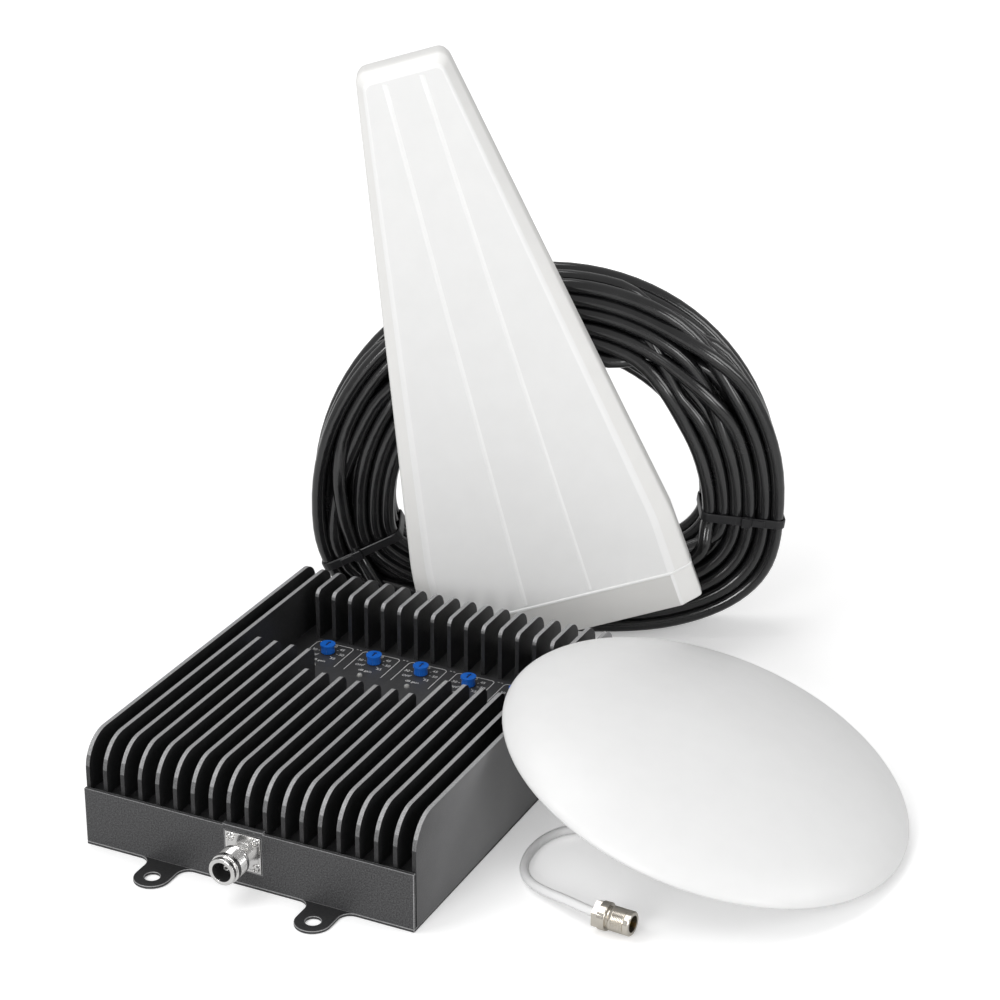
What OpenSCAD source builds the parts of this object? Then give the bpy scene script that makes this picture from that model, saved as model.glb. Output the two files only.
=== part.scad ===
// Cellular signal booster kit: a finned amplifier with five gain knobs, a panel antenna,
// a dome antenna on a short lead, and a tied coil of coaxial cable.
// Frame: origin at the centre of the amplifier's base, +Z up, amplifier's front faces -Y.

/* [Amplifier] */
// Width across the outer fins
amp_w = 237; // [233:1:245]
// Depth from front plate to rear plate
amp_d = 300; // [290:1:320]
// Height of the fin tops
amp_h = 75; // [68:1:85]
// Height of the front and rear plates
plate_h = 41; // [40:1:44]
// Number of fins, side walls included
fin_count = 19; // [19:1:19]
// Thickness of one fin
fin_t = 2.8; // [2:0.1:3.4]
// Radius of a fin's front top corner
fin_front_r = 22; // [12:1:26]
// Radius of a fin's back top corner
fin_back_r = 12; // [6:1:16]
// Thickness of the base plate
base_t = 2; // [1.5:0.5:2]

/* [Controls] */
// Number of gain knobs
knob_count = 5; // [5:1:5]
// Distance between knobs
knob_pitch = 36.7; // [34:0.1:37]
// Distance of the knob row behind the centre
knob_y = 88; // [80:1:90]
// Radius of the knob's top disc
knob_r = 5.4; // [5:0.1:7]
// Height of a knob above the deck
knob_h = 7.2; // [6:0.1:9]

/* [Panel antenna] */
// Overall length
ant_l = 435; // [400:1:450]
// Width at the foot
ant_w = 202.4; // [190:0.1:206]
// Width at the tip
ant_tip_w = 63; // [60:1:80]
// Overall thickness
ant_t = 26; // [26:1:40]
// Roll about the line of sight
ant_roll = 15.4; // [15.4:0.1:15.4]

/* [Dome antenna] */
// Radius of the dome's rim
dome_r = 137.2; // [134:0.1:138]
// Height from rim to crown
dome_h = 38.4; // [36:0.1:44]
// Tilt of the dome as it leans on the amplifier
dome_tilt = 16.9; // [16.9:0.1:16.9]

/* [Cable coil] */
// Half width of the coil
coil_rx = 172; // [165:1:175]
// Height of the coil above its widest line
coil_up = 177; // [170:1:180]
// Height of the coil below its widest line, where it settles flatter
coil_low = 104; // [95:1:110]
// Radial width of the bundle
coil_band = 66; // [60:1:68]
// Thickness of the bundle from front to back
coil_t = 42; // [38:1:42]
// Diameter of the coaxial cable
coax_d = 10.3; // [10.3:0.1:10.3]

/* [Hidden] */
$fn = 96;
eps = 0.01;

// Colours
black_coat = "#2b2b2c";
off_white = "#e6e6e4";
nickel = "#c9c6bf";
gold = "#d0a848";
ptfe = "#efece4";
knob_blue = "#1668c4";
jacket_black = "#141415";

// Amplifier, derived
fin_pitch = (amp_w - fin_t) / (fin_count - 1);
half_w = amp_w / 2;
half_d = amp_d / 2;
plate_t = 3.5;
body_y = half_d - plate_t;
deck_top = 38;
deck_t = 4;
wall_t = 3;
lip_gap = 0.8;
full_fins = 2;
stub_len = 41;
short_from = 7;
outer_fin_end = 30;
inner_fin_end = 4;
ear_x = 58;
ear_reach = 18;
ear_r = 12;
ear_hole_r = 5;
port_z = 24.9;
front_port_x = -1.4;
flange = 25.4;
flange_t = 2;
flange_seat = 1.7;
screw_pitch = 18.3;
rear_port_x = -70;
jack_x = 60;
board_z = 18.4;
board_t = 1.6;
label_t = 0.4;
led_top = deck_top + 0.3;
rib_x = half_w - wall_t - 3;
shaft_r = 2.5;
run_gap = 0.06;

// Type N thread: 5/8-24 UNEF
n_r = 7.94;
n_pitch = 1.058;
n_bore = 5.4;

// Where the loose items stand: all of them face the same way, turned from the amplifier
stand_yaw = 26;
ant_foot = [-32.1, 165.7, 0];
coil_foot = [14.6, 263, 0];
dome_rise = 4;
dome_pos = [230.1, 43.2, dome_r * sin(dome_tilt) + dome_rise];
dome_yaw = 6.3;

// ---------- helpers ----------

// Outline with its two upper corners rounded by different radii
module two_radius(y0, y1, z0, z1, r0, r1) {
    difference() {
        translate([y0, z0])
            square([y1 - y0, z1 - z0]);
        corner_cut(y0, z1, r0, 1);
        corner_cut(y1, z1, r1, -1);
    }
}

// What a rounded upper corner takes away; side is 1 for a left corner, -1 for a right one
module corner_cut(y, z, r, side) {
    difference() {
        translate([y + side * (r / 2 - 0.5), z - r / 2 + 0.5])
            square([r + 1, r + 1], center = true);
        translate([y + side * r, z - r])
            circle(r);
    }
}

// Plate standing in the YZ plane, centred on x
module fin_plate(x, t) {
    translate([x - t / 2, 0, 0])
        rotate([90, 0, 90])
            linear_extrude(t)
                children();
}

// Pan head screw: head on z = 0, shank going down, with a cross recess
module pan_screw(head_r, head_h, shank_r, shank_l) {
    difference() {
        union() {
            cylinder(r1 = head_r, r2 = head_r * 0.8, h = head_h);
            translate([0, 0, -shank_l])
                cylinder(r = shank_r, h = shank_l + eps);
        }
        for (a = [0, 90])
            rotate([0, 0, a])
                translate([0, 0, head_h])
                    cube([head_r * 1.2, head_r * 0.3, head_h], center = true);
    }
}

// Zigzag outline of a thread from z0 down to z1 as [r, z] points
function thread_points(r, depth, z0, z1, pitch) =
    let (turns = floor((z0 - z1) / pitch))
    [for (i = [0 : turns - 1]) for (s = [0, 1])
        s == 0 ? [r, z0 - i * pitch] : [r - depth, z0 - (i + 0.5) * pitch]];

// Type N socket shell. Mouth at z = 0 facing +Z, body reaching down to z = -len
module n_socket_shell(len, neck_r, thread_end) {
    difference() {
        rotate_extrude()
            polygon(concat([[n_bore, 0], [n_r - 0.6, 0], [n_r, -0.6], [n_r, -3.4], [n_r - 0.9, -3.9]],
                thread_points(n_r, 0.6, -4.6, thread_end + 0.4, n_pitch),
                [[n_r, thread_end], [neck_r, thread_end - 1], [neck_r, -len], [3, -len], [3, -9.5],
                [n_bore, -9.5]]));
    }
}

module n_socket_insulator(len) {
    difference() {
        translate([0, 0, -len])
            cylinder(r = 2.96, h = len - 8.2);
        translate([0, 0, -len - 1])
            cylinder(r = 0.95, h = len);
    }
}

// Centre contact: pin through the insulator and a slotted socket in the mouth
module n_socket_contact(len) {
    difference() {
        union() {
            translate([0, 0, -len - 2])
                cylinder(r = 0.9, h = len - 6);
            translate([0, 0, -8.1])
                cylinder(r = 1.55, h = 5.6);
        }
        translate([0, 0, -6.5])
            cylinder(r = 0.85, h = 5);
        translate([-2, -0.15, -6])
            cube([4, 0.3, 4]);
    }
}

// Square flange with four screw holes, seat face at z = -t
module n_flange(t) {
    difference() {
        translate([-flange / 2, -flange / 2, -t])
            cube([flange, flange, t]);
        translate([0, 0, -t - 1])
            cylinder(r = 4, h = t + 2);
        for (x = [-1, 1], y = [-1, 1])
            translate([x * screw_pitch / 2, y * screw_pitch / 2, -t - 1])
                cylinder(r = 1.7, h = t + 2);
    }
}

module flange_screws(shank_l) {
    for (x = [-1, 1], y = [-1, 1])
        translate([x * screw_pitch / 2, y * screw_pitch / 2, 0])
            pan_screw(2.9, 1.8, 1.4, shank_l);
}

// ---------- amplifier ----------

// Places a child so that +Z of the child points out of the front plate at the port
port_face_y = half_d + 0.3;
module at_front_port() {
    translate([front_port_x, -port_face_y, port_z])
        rotate([90, 0, 0])
            children();
}

module at_rear_port() {
    translate([rear_port_x, port_face_y, port_z])
        rotate([-90, 0, 0])
            children();
}

module long_fin(x, t) {
    fin_plate(x, t)
        two_radius(-body_y, body_y, deck_top - 1, amp_h, fin_front_r, fin_back_r);
}

module front_fin(x, y_end) {
    fin_plate(x, fin_t)
        two_radius(-body_y, y_end, deck_top - 1, amp_h, fin_front_r, 6);
}

module stub_fin(x) {
    fin_plate(x, fin_t)
        two_radius(body_y - stub_len, body_y, deck_top - 1, amp_h, 5, fin_back_r);
}

module housing() {
    color(black_coat) difference() {
        union() {
            // Deck that carries the fins
            translate([-half_w, -body_y, deck_top - deck_t])
                cube([amp_w, 2 * body_y, deck_t]);
            // Side walls below the outer fins
            for (s = [-1, 1])
                translate([s * (half_w - wall_t / 2) - wall_t / 2, -body_y, base_t])
                    cube([wall_t, 2 * body_y, deck_top - base_t]);
            for (i = [1 : fin_count])
                fin(i);
            // Ribs inside that take the end plates' screws
            for (x = [-1, 1])
                translate([x * rib_x - 4, -body_y, base_t])
                    cube([8, 2 * body_y, 8]);
        }
        for (x = [-1, 1]) {
            for (y = [-1, 1])
                translate([x * rib_x, y * 100, base_t - 1])
                    cylinder(r = 1.6, h = 7);
            translate([x * rib_x, body_y + 1, 6])
                rotate([90, 0, 0])
                    cylinder(r = 1.6, h = 12);
        }
        for (i = [1 : knob_count]) {
            translate([knob_x(i), knob_y, deck_top - deck_t - 1])
                cylinder(r = shaft_r + run_gap, h = deck_t + 2);
            translate([knob_x(i), knob_y - 21, deck_top - deck_t - 1])
                cylinder(r = 2.2, h = deck_t + 2);
        }
    }
}

function knob_x(i) = (i - (knob_count + 1) / 2) * knob_pitch;
function fin_x(i) = (i - (fin_count + 1) / 2) * fin_pitch;
function is_full(i) = i <= full_fins || i > fin_count - full_fins;
function is_outer(i) = i < short_from || i > fin_count + 1 - short_from;

module fin(i) {
    if (is_full(i)) {
        long_fin(fin_x(i), fin_t);
    } else {
        front_fin(fin_x(i), is_outer(i) ? outer_fin_end : inner_fin_end);
        stub_fin(fin_x(i));
    }
}

// End plate: outer face at y = -half_d, with a lip behind that seats on the housing
module end_plate(port_x) {
    difference() {
        union() {
            translate([-half_w, -half_d, base_t])
                cube([amp_w, plate_t - lip_gap, plate_h - base_t]);
            translate([-half_w + 2, -half_d, base_t + 0.5])
                cube([amp_w - 4, plate_t, plate_h - base_t - 1.5]);
            translate([port_x - 14.5, -half_d, plate_h - 2])
                cube([29, plate_t, 3.2]);
        }
        translate([port_x - flange / 2 - 0.5, -half_d - 1, port_z - flange / 2 - 0.5])
            cube([flange + 1, flange_seat + 1, flange + 1]);
        translate([port_x, -half_d - 1, port_z])
            rotate([-90, 0, 0])
                cylinder(r = 4.1, h = plate_t + 2);
        for (x = [-1, 1], z = [-1, 1])
            translate([port_x + x * screw_pitch / 2, -half_d - 1, port_z + z * screw_pitch / 2])
                rotate([-90, 0, 0])
                    cylinder(r = 1.5, h = plate_t + 2);
    }
}

module front_plate() {
    color(black_coat) end_plate(front_port_x);
}

module rear_plate() {
    color(black_coat) difference() {
        mirror([0, 1, 0])
            end_plate(rear_port_x);
        translate([jack_x, half_d + 1, port_z - 2])
            rotate([90, 0, 0])
                cylinder(r = 6.1, h = plate_t + 2);
        case_screw_holes();
    }
}

// Ear outline beyond the front edge, with concave fillets where it joins the plate
module ear_outline() {
    fillet_r = 8;
    difference() {
        union() {
            translate([-ear_r - fillet_r, 0])
                square([2 * (ear_r + fillet_r), fillet_r]);
            translate([-ear_r, 0])
                square([2 * ear_r, ear_reach]);
            translate([0, ear_reach])
                circle(ear_r);
        }
        for (s = [-1, 1])
            translate([s * (ear_r + fillet_r), fillet_r])
                circle(fillet_r);
        translate([0, ear_reach])
            circle(ear_hole_r);
    }
}

module base_plate() {
    color(black_coat) difference() {
        linear_extrude(base_t) union() {
            translate([-half_w, -half_d])
                square([amp_w, amp_d]);
            for (x = [-ear_x, ear_x], s = [-1, 1])
                translate([x, s * (half_d - eps)])
                    mirror([0, s < 0 ? 1 : 0])
                        ear_outline();
        }
        for (x = [-1, 1], y = [-1, 1])
            translate([x * rib_x, y * 100, -eps]) {
                cylinder(r1 = 3.2, r2 = 1.6, h = 1.6);
                cylinder(r = 1.6, h = base_t + 1);
            }
    }
}

module control_label() {
    color("#303031") difference() {
        union() {
            translate([-half_w + 2 * fin_pitch + 3, outer_fin_end + 2, deck_top])
                cube([amp_w - 4 * fin_pitch - 6, body_y - stub_len - outer_fin_end - 3, label_t]);
        }
        for (i = [1 : knob_count]) {
            translate([knob_x(i), knob_y, deck_top - 1])
                cylinder(r = 3.2, h = 3);
            translate([knob_x(i), knob_y - 21, deck_top - 1])
                cylinder(r = 2.4, h = 3);
        }
    }
}

module circuit_board() {
    color("#1d5a34") difference() {
        translate([-104, -130, board_z])
            cube([208, 262, board_t]);
        for (x = [-1, 1], y = [-1, 0, 1])
            translate([x * 96, y * 115, board_z - 1])
                cylinder(r = 1.6, h = board_t + 2);
    }
}

// Tin cans over the radio stages, one for each band, and one over the supply
module rf_shields() {
    color("silver") for (i = [1 : knob_count])
        translate([knob_x(i) - 15, -95, board_z + board_t])
            shield_can([30, 140, 9]);
    color("silver") translate([-90, 108, board_z + board_t])
        shield_can([60, 20, 9]);
}

module shield_can(size) {
    difference() {
        cube(size);
        translate([0.5, 0.5, -1])
            cube(size - [1, 1, -0.5]);
    }
}

module board_standoffs() {
    color(nickel) for (x = [-1, 1], y = [-1, 0, 1])
        translate([x * 96, y * 115, base_t])
            cylinder(r = 3.4, h = board_z - base_t, $fn = 6);
}

module gain_controls() {
    color("#20242c") for (i = [1 : knob_count])
        translate([knob_x(i), knob_y, 0])
            difference() {
                translate([-5, -5, board_z + board_t])
                    cube([10, 10, 12]);
                translate([0, 0, 26])
                    cylinder(r = shaft_r + run_gap, h = 12);
            }
}

module status_leds() {
    color("#f2f2ee") for (i = [1 : knob_count])
        translate([knob_x(i), knob_y - 21, board_z + board_t]) {
            cylinder(r = 2.1, h = led_top - board_z - board_t);
            translate([0, 0, led_top - board_z - board_t])
                sphere(r = 2.1);
        }
}

// Knob with its shaft; the slot and arrow in the top show its setting
module knob(i) {
    top = deck_top + knob_h;
    foot = deck_top + label_t + 0.4;
    color(knob_blue) translate([knob_x(i), knob_y, 0]) difference() {
        union() {
            translate([0, 0, 26.4])
                cylinder(r = shaft_r, h = foot - 26);
            translate([0, 0, foot])
                cylinder(r1 = 4.9, r2 = 4.5, h = top - 1.3 - foot);
            translate([0, 0, top - 1.3])
                cylinder(r = knob_r, h = 1.3);
        }
        for (a = [0 : 20 : 340])
            rotate([0, 0, a])
                translate([5.05, 0, foot - 1])
                    cylinder(r = 0.45, h = top - 1.3 - foot + 1);
        translate([-0.7, -2.6, top - 0.9])
            cube([1.4, 5.2, 2]);
        translate([0, 0, top - 0.9])
            linear_extrude(2)
                polygon([[0, 4.2], [-2, 1.6], [2, 1.6]]);
    }
}

module knob_1() knob(1);
module knob_2() knob(2);
module knob_3() knob(3);
module knob_4() knob(4);
module knob_5() knob(5);

// Shell of a panel port, with its flange; seat face is flange_t behind the local origin
port_l = 25;
module panel_port_shell() {
    difference() {
        union() {
            translate([0, 0, port_l])
                n_socket_shell(port_l + 8, 5.7, -15.5);
            n_flange(flange_t);
        }
        translate([0, 0, -10])
            cylinder(r = 3, h = 20);
        translate([0, 0, -20])
            difference() {
                cylinder(r = 12, h = 20 - flange_t);
                translate([0, 0, -1])
                    cylinder(r = 3.8, h = 30);
            }
    }
}

module panel_port_insulator() {
    translate([0, 0, port_l])
        n_socket_insulator(port_l + 8);
}

module panel_port_contact() {
    translate([0, 0, port_l])
        n_socket_contact(port_l + 8);
}

// Wide socket on the front plate: smooth mouth ring, plain land, then an M20 x 1 thread
wide_r = 10;
wide_l = 26;
wide_bore = 6.6;
module wide_port_shell() {
    difference() {
        union() {
            translate([0, 0, wide_l])
                rotate_extrude()
                    polygon(concat([[wide_bore, 0], [8.9, 0], [9.3, -0.4], [9.3, -2.8], [8.7, -3.2],
                        [8.7, -4], [wide_r, -4.3], [wide_r, -7.2]],
                        thread_points(wide_r, 0.6, -7.7, -16.4, 1),
                        [[wide_r, -17.2], [7, -18], [7, -wide_l - 8], [3, -wide_l - 8], [3, -12],
                        [wide_bore, -12]]));
            n_flange(flange_t);
        }
        translate([0, 0, -10])
            cylinder(r = 3, h = 20);
        translate([0, 0, -20])
            difference() {
                cylinder(r = 12, h = 20 - flange_t);
                translate([0, 0, -1])
                    cylinder(r = 3.8, h = 30);
            }
    }
}

module front_port_shell() {
    color(nickel) at_front_port() wide_port_shell();
}

module front_port_insulator() {
    color(ptfe) at_front_port() translate([0, 0, -8])
        ring(2.96, 0.95, 0, wide_l - 3.6);
}

module front_port_contact() {
    color(gold) at_front_port() difference() {
        union() {
            translate([0, 0, -10])
                cylinder(r = 0.9, h = wide_l);
            translate([0, 0, wide_l - 11.5])
                cylinder(r = 1.8, h = 5.7);
        }
        translate([0, 0, wide_l - 10])
            cylinder(r = 1.05, h = 5);
        translate([-2, -0.15, wide_l - 9.5])
            cube([4, 0.3, 4]);
    }
}

module front_port_screws() {
    color(nickel) at_front_port() flange_screws(3.6);
}

module rear_port_shell() {
    color(nickel) at_rear_port() panel_port_shell();
}

module rear_port_insulator() {
    color(ptfe) at_rear_port() panel_port_insulator();
}

module rear_port_contact() {
    color(gold) at_rear_port() panel_port_contact();
}

module rear_port_screws() {
    color(nickel) at_rear_port() flange_screws(3.6);
}

// Barrel socket for the supply lead
module power_jack() {
    color("#161616") translate([jack_x, half_d, port_z - 2])
        rotate([-90, 0, 0]) {
            difference() {
                union() {
                    translate([0, 0, -14])
                        cylinder(r = 6, h = 14 + eps);
                    cylinder(r = 7.6, h = 1.8);
                }
                translate([0, 0, -10])
                    cylinder(r = 3, h = 20);
            }
            translate([0, 0, -12])
                cylinder(r = 1.05, h = 12);
        }
}

module case_screw_holes() {
    for (x = [-1, 1])
        translate([x * rib_x, half_d + 1, 6])
            rotate([90, 0, 0])
                cylinder(r = 1.6, h = plate_t + 2);
}

// Countersunk from below through the base, and pan heads through the rear plate
module case_screws() {
    color("#1b1b1c") for (x = [-1, 1], y = [-1, 1])
        translate([x * rib_x, y * 100, 0.2]) difference() {
            union() {
                cylinder(r1 = 2.8, r2 = 1.5, h = 1.3);
                cylinder(r = 1.5, h = 7);
            }
            for (a = [0, 90])
                rotate([0, 0, a])
                    cube([3.2, 0.8, 1.4], center = true);
        }
    color("#1b1b1c") for (x = [-1, 1])
        translate([x * rib_x, half_d, 6])
            rotate([-90, 0, 0])
                pan_screw(2.9, 1.6, 1.5, plate_t + 7);
}

// ---------- panel antenna ----------

module at_antenna() {
    translate(ant_foot)
        rotate([0, 0, stand_yaw])
            rotate([0, -ant_roll, 0])
                children();
}

ant_mid = ant_w / 2;
ant_knee = 72;
knee_in = 5;
cap_h = 28;
bevel_foot = 15;
bevel_tip = 6;
bevel_t = 9;
skin = 2.4;
back_t = 2.4;
boss_low = 84;

function lerp(a, b, k) = a + (b - a) * k;

// Half width of the antenna at height z
function ant_half(z) = z < ant_knee ? lerp(ant_w / 2, ant_w / 2 - knee_in, z / ant_knee)
    : lerp(ant_w / 2 - knee_in, ant_tip_w / 2, (z - ant_knee) / (ant_l - ant_knee));

// Front outline between two heights, drawn inset by side_low, side_high and top
module ant_outline(z0, z1, side_low, side_high, tip_r) {
    polygon(concat(
        [[-ant_half(z0) + side_low, z0], [ant_half(z0) - side_low, z0]],
        z0 < ant_knee && z1 > ant_knee
            ? [[ant_half(ant_knee) - lerp(side_low, side_high, 0.15), ant_knee]] : [],
        [for (a = [0 : 15 : 90])
            [ant_half(z1) - side_high - tip_r * (1 - cos(a)), z1 - tip_r * (1 - sin(a))]],
        [for (a = [90 : -15 : 0])
            [-ant_half(z1) + side_high + tip_r * (1 - cos(a)), z1 - tip_r * (1 - sin(a))]],
        z0 < ant_knee && z1 > ant_knee
            ? [[-ant_half(ant_knee) + lerp(side_low, side_high, 0.15), ant_knee]] : []));
}

// Turns an XZ outline into a slab from y0 to y1, centred on the antenna's width
module ant_slab(y0, y1) {
    translate([ant_mid, y1, 0])
        rotate([90, 0, 0])
            linear_extrude(y1 - y0)
                children();
}

// Bevelled tray shape of the radome, shrunk by s all round
module ant_body(s, z0) {
    hull() {
        ant_slab(s, s + 0.05)
            ant_outline(z0, ant_l - 7 - s, bevel_foot + s, bevel_tip + s, 4);
        ant_slab(bevel_t, ant_t - back_t)
            ant_outline(z0, ant_l - s, s, s, 7);
    }
}

module antenna_radome() {
    color(off_white) at_antenna() {
        difference() {
            ant_body(0, cap_h);
            ant_body(skin, cap_h - 1);
            ant_slab(ant_t - back_t - 1, ant_t)
                ant_outline(cap_h - 1, ant_l - skin, skin, skin, 5);
        }
        // Bosses for the back cover's screws
        for (s = [-1, 1], b = [[boss_low, 5], [400, 1]])
            translate([ant_mid + s * (ant_half(b[0]) - 12), ant_t - back_t, b[0]])
                rotate([90, 0, 0])
                    difference() {
                        cylinder(r = 3.5, h = ant_t - back_t - b[1]);
                        translate([0, 0, -1])
                            cylinder(r = 1.6, h = 8);
                    }
    }
}

module antenna_back_cover() {
    color(off_white) at_antenna() difference() {
        ant_slab(ant_t - back_t, ant_t)
            ant_outline(cap_h, ant_l, 0, 0, 7);
        for (s = [-1, 1], z = [boss_low, 400])
            translate([ant_mid + s * (ant_half(z) - 12), ant_t + eps, z])
                rotate([90, 0, 0]) {
                    cylinder(r1 = 3, r2 = 1.6, h = 1.6);
                    cylinder(r = 1.6, h = back_t + 2);
                }
    }
}

// Foot of the antenna: a shallow cup whose front edge is cut back underneath
module antenna_end_cap() {
    color(off_white) at_antenna() difference() {
        hull() {
            ant_slab(0, 0.05)
                square_between(-ant_half(cap_h) + bevel_foot, ant_half(cap_h) - bevel_foot, 22, cap_h);
            ant_slab(bevel_t, ant_t)
                square_between(-ant_half(0), ant_half(0), 0, cap_h);
        }
        ant_slab(bevel_t + skin, ant_t - skin)
            square_between(-ant_half(0) + skin, ant_half(0) - skin, skin, cap_h + 1);
        at_antenna_port()
            cylinder(r = 4.1, h = 20, center = true);
    }
}

module square_between(x0, x1, z0, z1) {
    translate([x0, z0])
        square([x1 - x0, z1 - z0]);
}

// The port looks down and out of the end cap
ant_port = [ant_mid - 8, 17.5, 0];
module at_antenna_port() {
    translate(ant_port)
        rotate([180, 0, 0])
            children();
}

// One boom with its dipole arms, which shorten towards the tip by a fixed ratio
arm_ratio = 0.84;
arm_count = 11;
arm_gap0 = 52;
boom_t = 4;
boom_front = 6.5;
boom_rear = 15.5;
function arm_z(i) = 60 + arm_gap0 * (1 - pow(arm_ratio, i)) / (1 - arm_ratio);
function arm_len(i) = 88 * pow(arm_ratio, i);

module boom(y, flip) {
    translate([ant_mid - 4, y, 40])
        cube([8, boom_t, 345]);
    for (i = [0 : arm_count - 1])
        translate([ant_mid, y + boom_t / 2, arm_z(i)])
            rotate([0, (i % 2 == 0 ? 90 : -90) * flip, 0])
                cylinder(r = 1.3, h = arm_len(i), $fn = 24);
}

module antenna_front_boom() {
    color("silver") at_antenna() boom(boom_front, 1);
}

module antenna_rear_boom() {
    color("silver") at_antenna() boom(boom_rear, -1);
}

// Insulating blocks that hold the booms apart and to the back cover
module antenna_boom_spacers() {
    color(ptfe) at_antenna() for (z = [42, 205, 372]) {
        translate([ant_mid - 5, boom_front + boom_t, z])
            cube([10, boom_rear - boom_front - boom_t, 10]);
        translate([ant_mid - 5, boom_rear + boom_t, z])
            cube([10, ant_t - back_t - boom_rear - boom_t, 10]);
    }
}

// Short lead from the port up to the foot of the booms
module antenna_feed_cable() {
    color(jacket_black) at_antenna() translate([ant_port[0], ant_port[1], 0]) {
        translate([0, 0, 12])
            cylinder(r = 1.8, h = 30);
        translate([-1.5, -1.5, 42])
            cube([5.5, 3, 3]);
    }
}

module antenna_port_shell() {
    color(nickel) at_antenna() at_antenna_port() difference() {
        union() {
            translate([0, 0, 18])
                n_socket_shell(18 + 8, 5.7, -14.5);
            cylinder(r = 8.4, h = 3, $fn = 6);
        }
        translate([0, 0, -12])
            cylinder(r = 3, h = 20);
        translate([0, 0, -12])
            difference() {
                cylinder(r = 12, h = 12);
                translate([0, 0, -1])
                    cylinder(r = 3.9, h = 20);
            }
    }
}

module antenna_port_insulator() {
    color(ptfe) at_antenna() at_antenna_port() translate([0, 0, 18])
        n_socket_insulator(26);
}

module antenna_port_contact() {
    color(gold) at_antenna() at_antenna_port() translate([0, 0, 18])
        n_socket_contact(26);
}

module antenna_screws() {
    color(nickel) at_antenna() for (s = [-1, 1], z = [boss_low, 400])
        translate([ant_mid + s * (ant_half(z) - 12), ant_t - 0.1, z])
            rotate([90, 0, 0]) difference() {
                union() {
                    cylinder(r1 = 2.8, r2 = 1.5, h = 1.4);
                    cylinder(r = 1.5, h = back_t + 4);
                }
                for (a = [0, 90])
                    rotate([0, 0, a])
                        cube([3.2, 0.8, 1.4], center = true);
            }
}

// ---------- dome antenna ----------

module at_dome() {
    translate(dome_pos)
        rotate([0, 0, dome_yaw])
            rotate([0, dome_tilt, 0])
                children();
}

dome_lip = 2;
dome_skin = 2.5;
stud_r = 10;
stud_l = 22;
stud_pitch = 1.5;
nut_top = -4.1;
nut_h = 7;

function dome_curve(r, h, lip) = concat(
    [for (a = [0 : 4 : 88]) [r * pow(cos(a), 1.2), lip + (h - lip) * pow(sin(a), 1.2)]],
    [[0, lip + (h - lip) * pow(sin(88), 1.2)]]);

module dome_shell() {
    color("#f4f4f4") at_dome() difference() {
        rotate_extrude($fn = 128)
            polygon(concat([[0, 0], [dome_r - 1, 0], [dome_r, 1]], dome_curve(dome_r, dome_h, dome_lip)));
        translate([0, 0, -eps])
            rotate_extrude($fn = 128)
                polygon(concat([[0, 0], [dome_r - dome_skin, 0]],
                    dome_curve(dome_r - dome_skin, dome_h - dome_skin, dome_lip)));
    }
}

module dome_base() {
    color("#f0f0f0") at_dome() difference() {
        union() {
            cylinder(r = dome_r - dome_skin - 0.3, h = 2.5);
            translate([0, 0, 2.5])
                difference() {
                    cylinder(r = dome_r - 8, h = 5);
                    translate([0, 0, -1])
                        cylinder(r = dome_r - 10.5, h = 8);
                }
            dome_screw_places()
                translate([0, 0, 2])
                    cylinder(r = 4.5, h = 4);
        }
        translate([0, 0, -1])
            cylinder(r = stud_r + 0.1, h = 5);
        dome_screw_places()
            translate([0, 0, 0.8])
                cylinder(r = 1.7, h = 7);
    }
}

module dome_screw_places() {
    for (a = [45 : 90 : 315])
        rotate([0, 0, a])
            translate([60, 0, 0])
                children();
}

// Hollow threaded stud that goes up through the ceiling and carries the lead
module dome_stud() {
    color("#ececec") at_dome() rotate_extrude()
        polygon(concat([[4, 5.5], [15, 5.5], [15, 2.5], [stud_r, 2.5]],
            thread_points(stud_r, 0.8, -2.4, -stud_l + 1.2, stud_pitch),
            [[stud_r - 0.8, -stud_l], [4, -stud_l]]));
}

module ring(r_out, r_in, z, h) {
    translate([0, 0, z])
        difference() {
            cylinder(r = r_out, h = h);
            translate([0, 0, -1])
                cylinder(r = r_in, h = h + 2);
        }
}

module dome_gasket() {
    color("#222222") at_dome() ring(18, stud_r + 0.3, -2, 2);
}

module dome_washer() {
    color(nickel) at_dome() ring(17, stud_r + 0.05, -3.8, 1.5);
}

module dome_nut() {
    color("#ececec") at_dome() difference() {
        translate([0, 0, nut_top - nut_h])
            cylinder(r = 17.3, h = nut_h, $fn = 6);
        translate([0, 0, nut_top - nut_h - 1])
            cylinder(r = stud_r + 0.05, h = nut_h + 2);
    }
}

module dome_ground_plane() {
    color("silver") at_dome() difference() {
        ring(100, 15.6, 6, 1);
        dome_screw_places()
            translate([0, 0, 5])
                cylinder(r = 1.7, h = 4);
    }
}

// Cone on a post above the ground plane
module dome_radiator() {
    color("#b87333") at_dome() difference() {
        union() {
            translate([0, 0, 9])
                cylinder(r1 = 4, r2 = 38, h = 20);
            translate([0, 0, 3])
                cylinder(r = 2, h = 8);
        }
        translate([0, 0, 12])
            cylinder(r1 = 3, r2 = 39, h = 21);
    }
}

module dome_screws() {
    color(nickel) at_dome() dome_screw_places()
        translate([0, 0, 7])
            pan_screw(3, 1.8, 1.5, 6);
}

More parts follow.
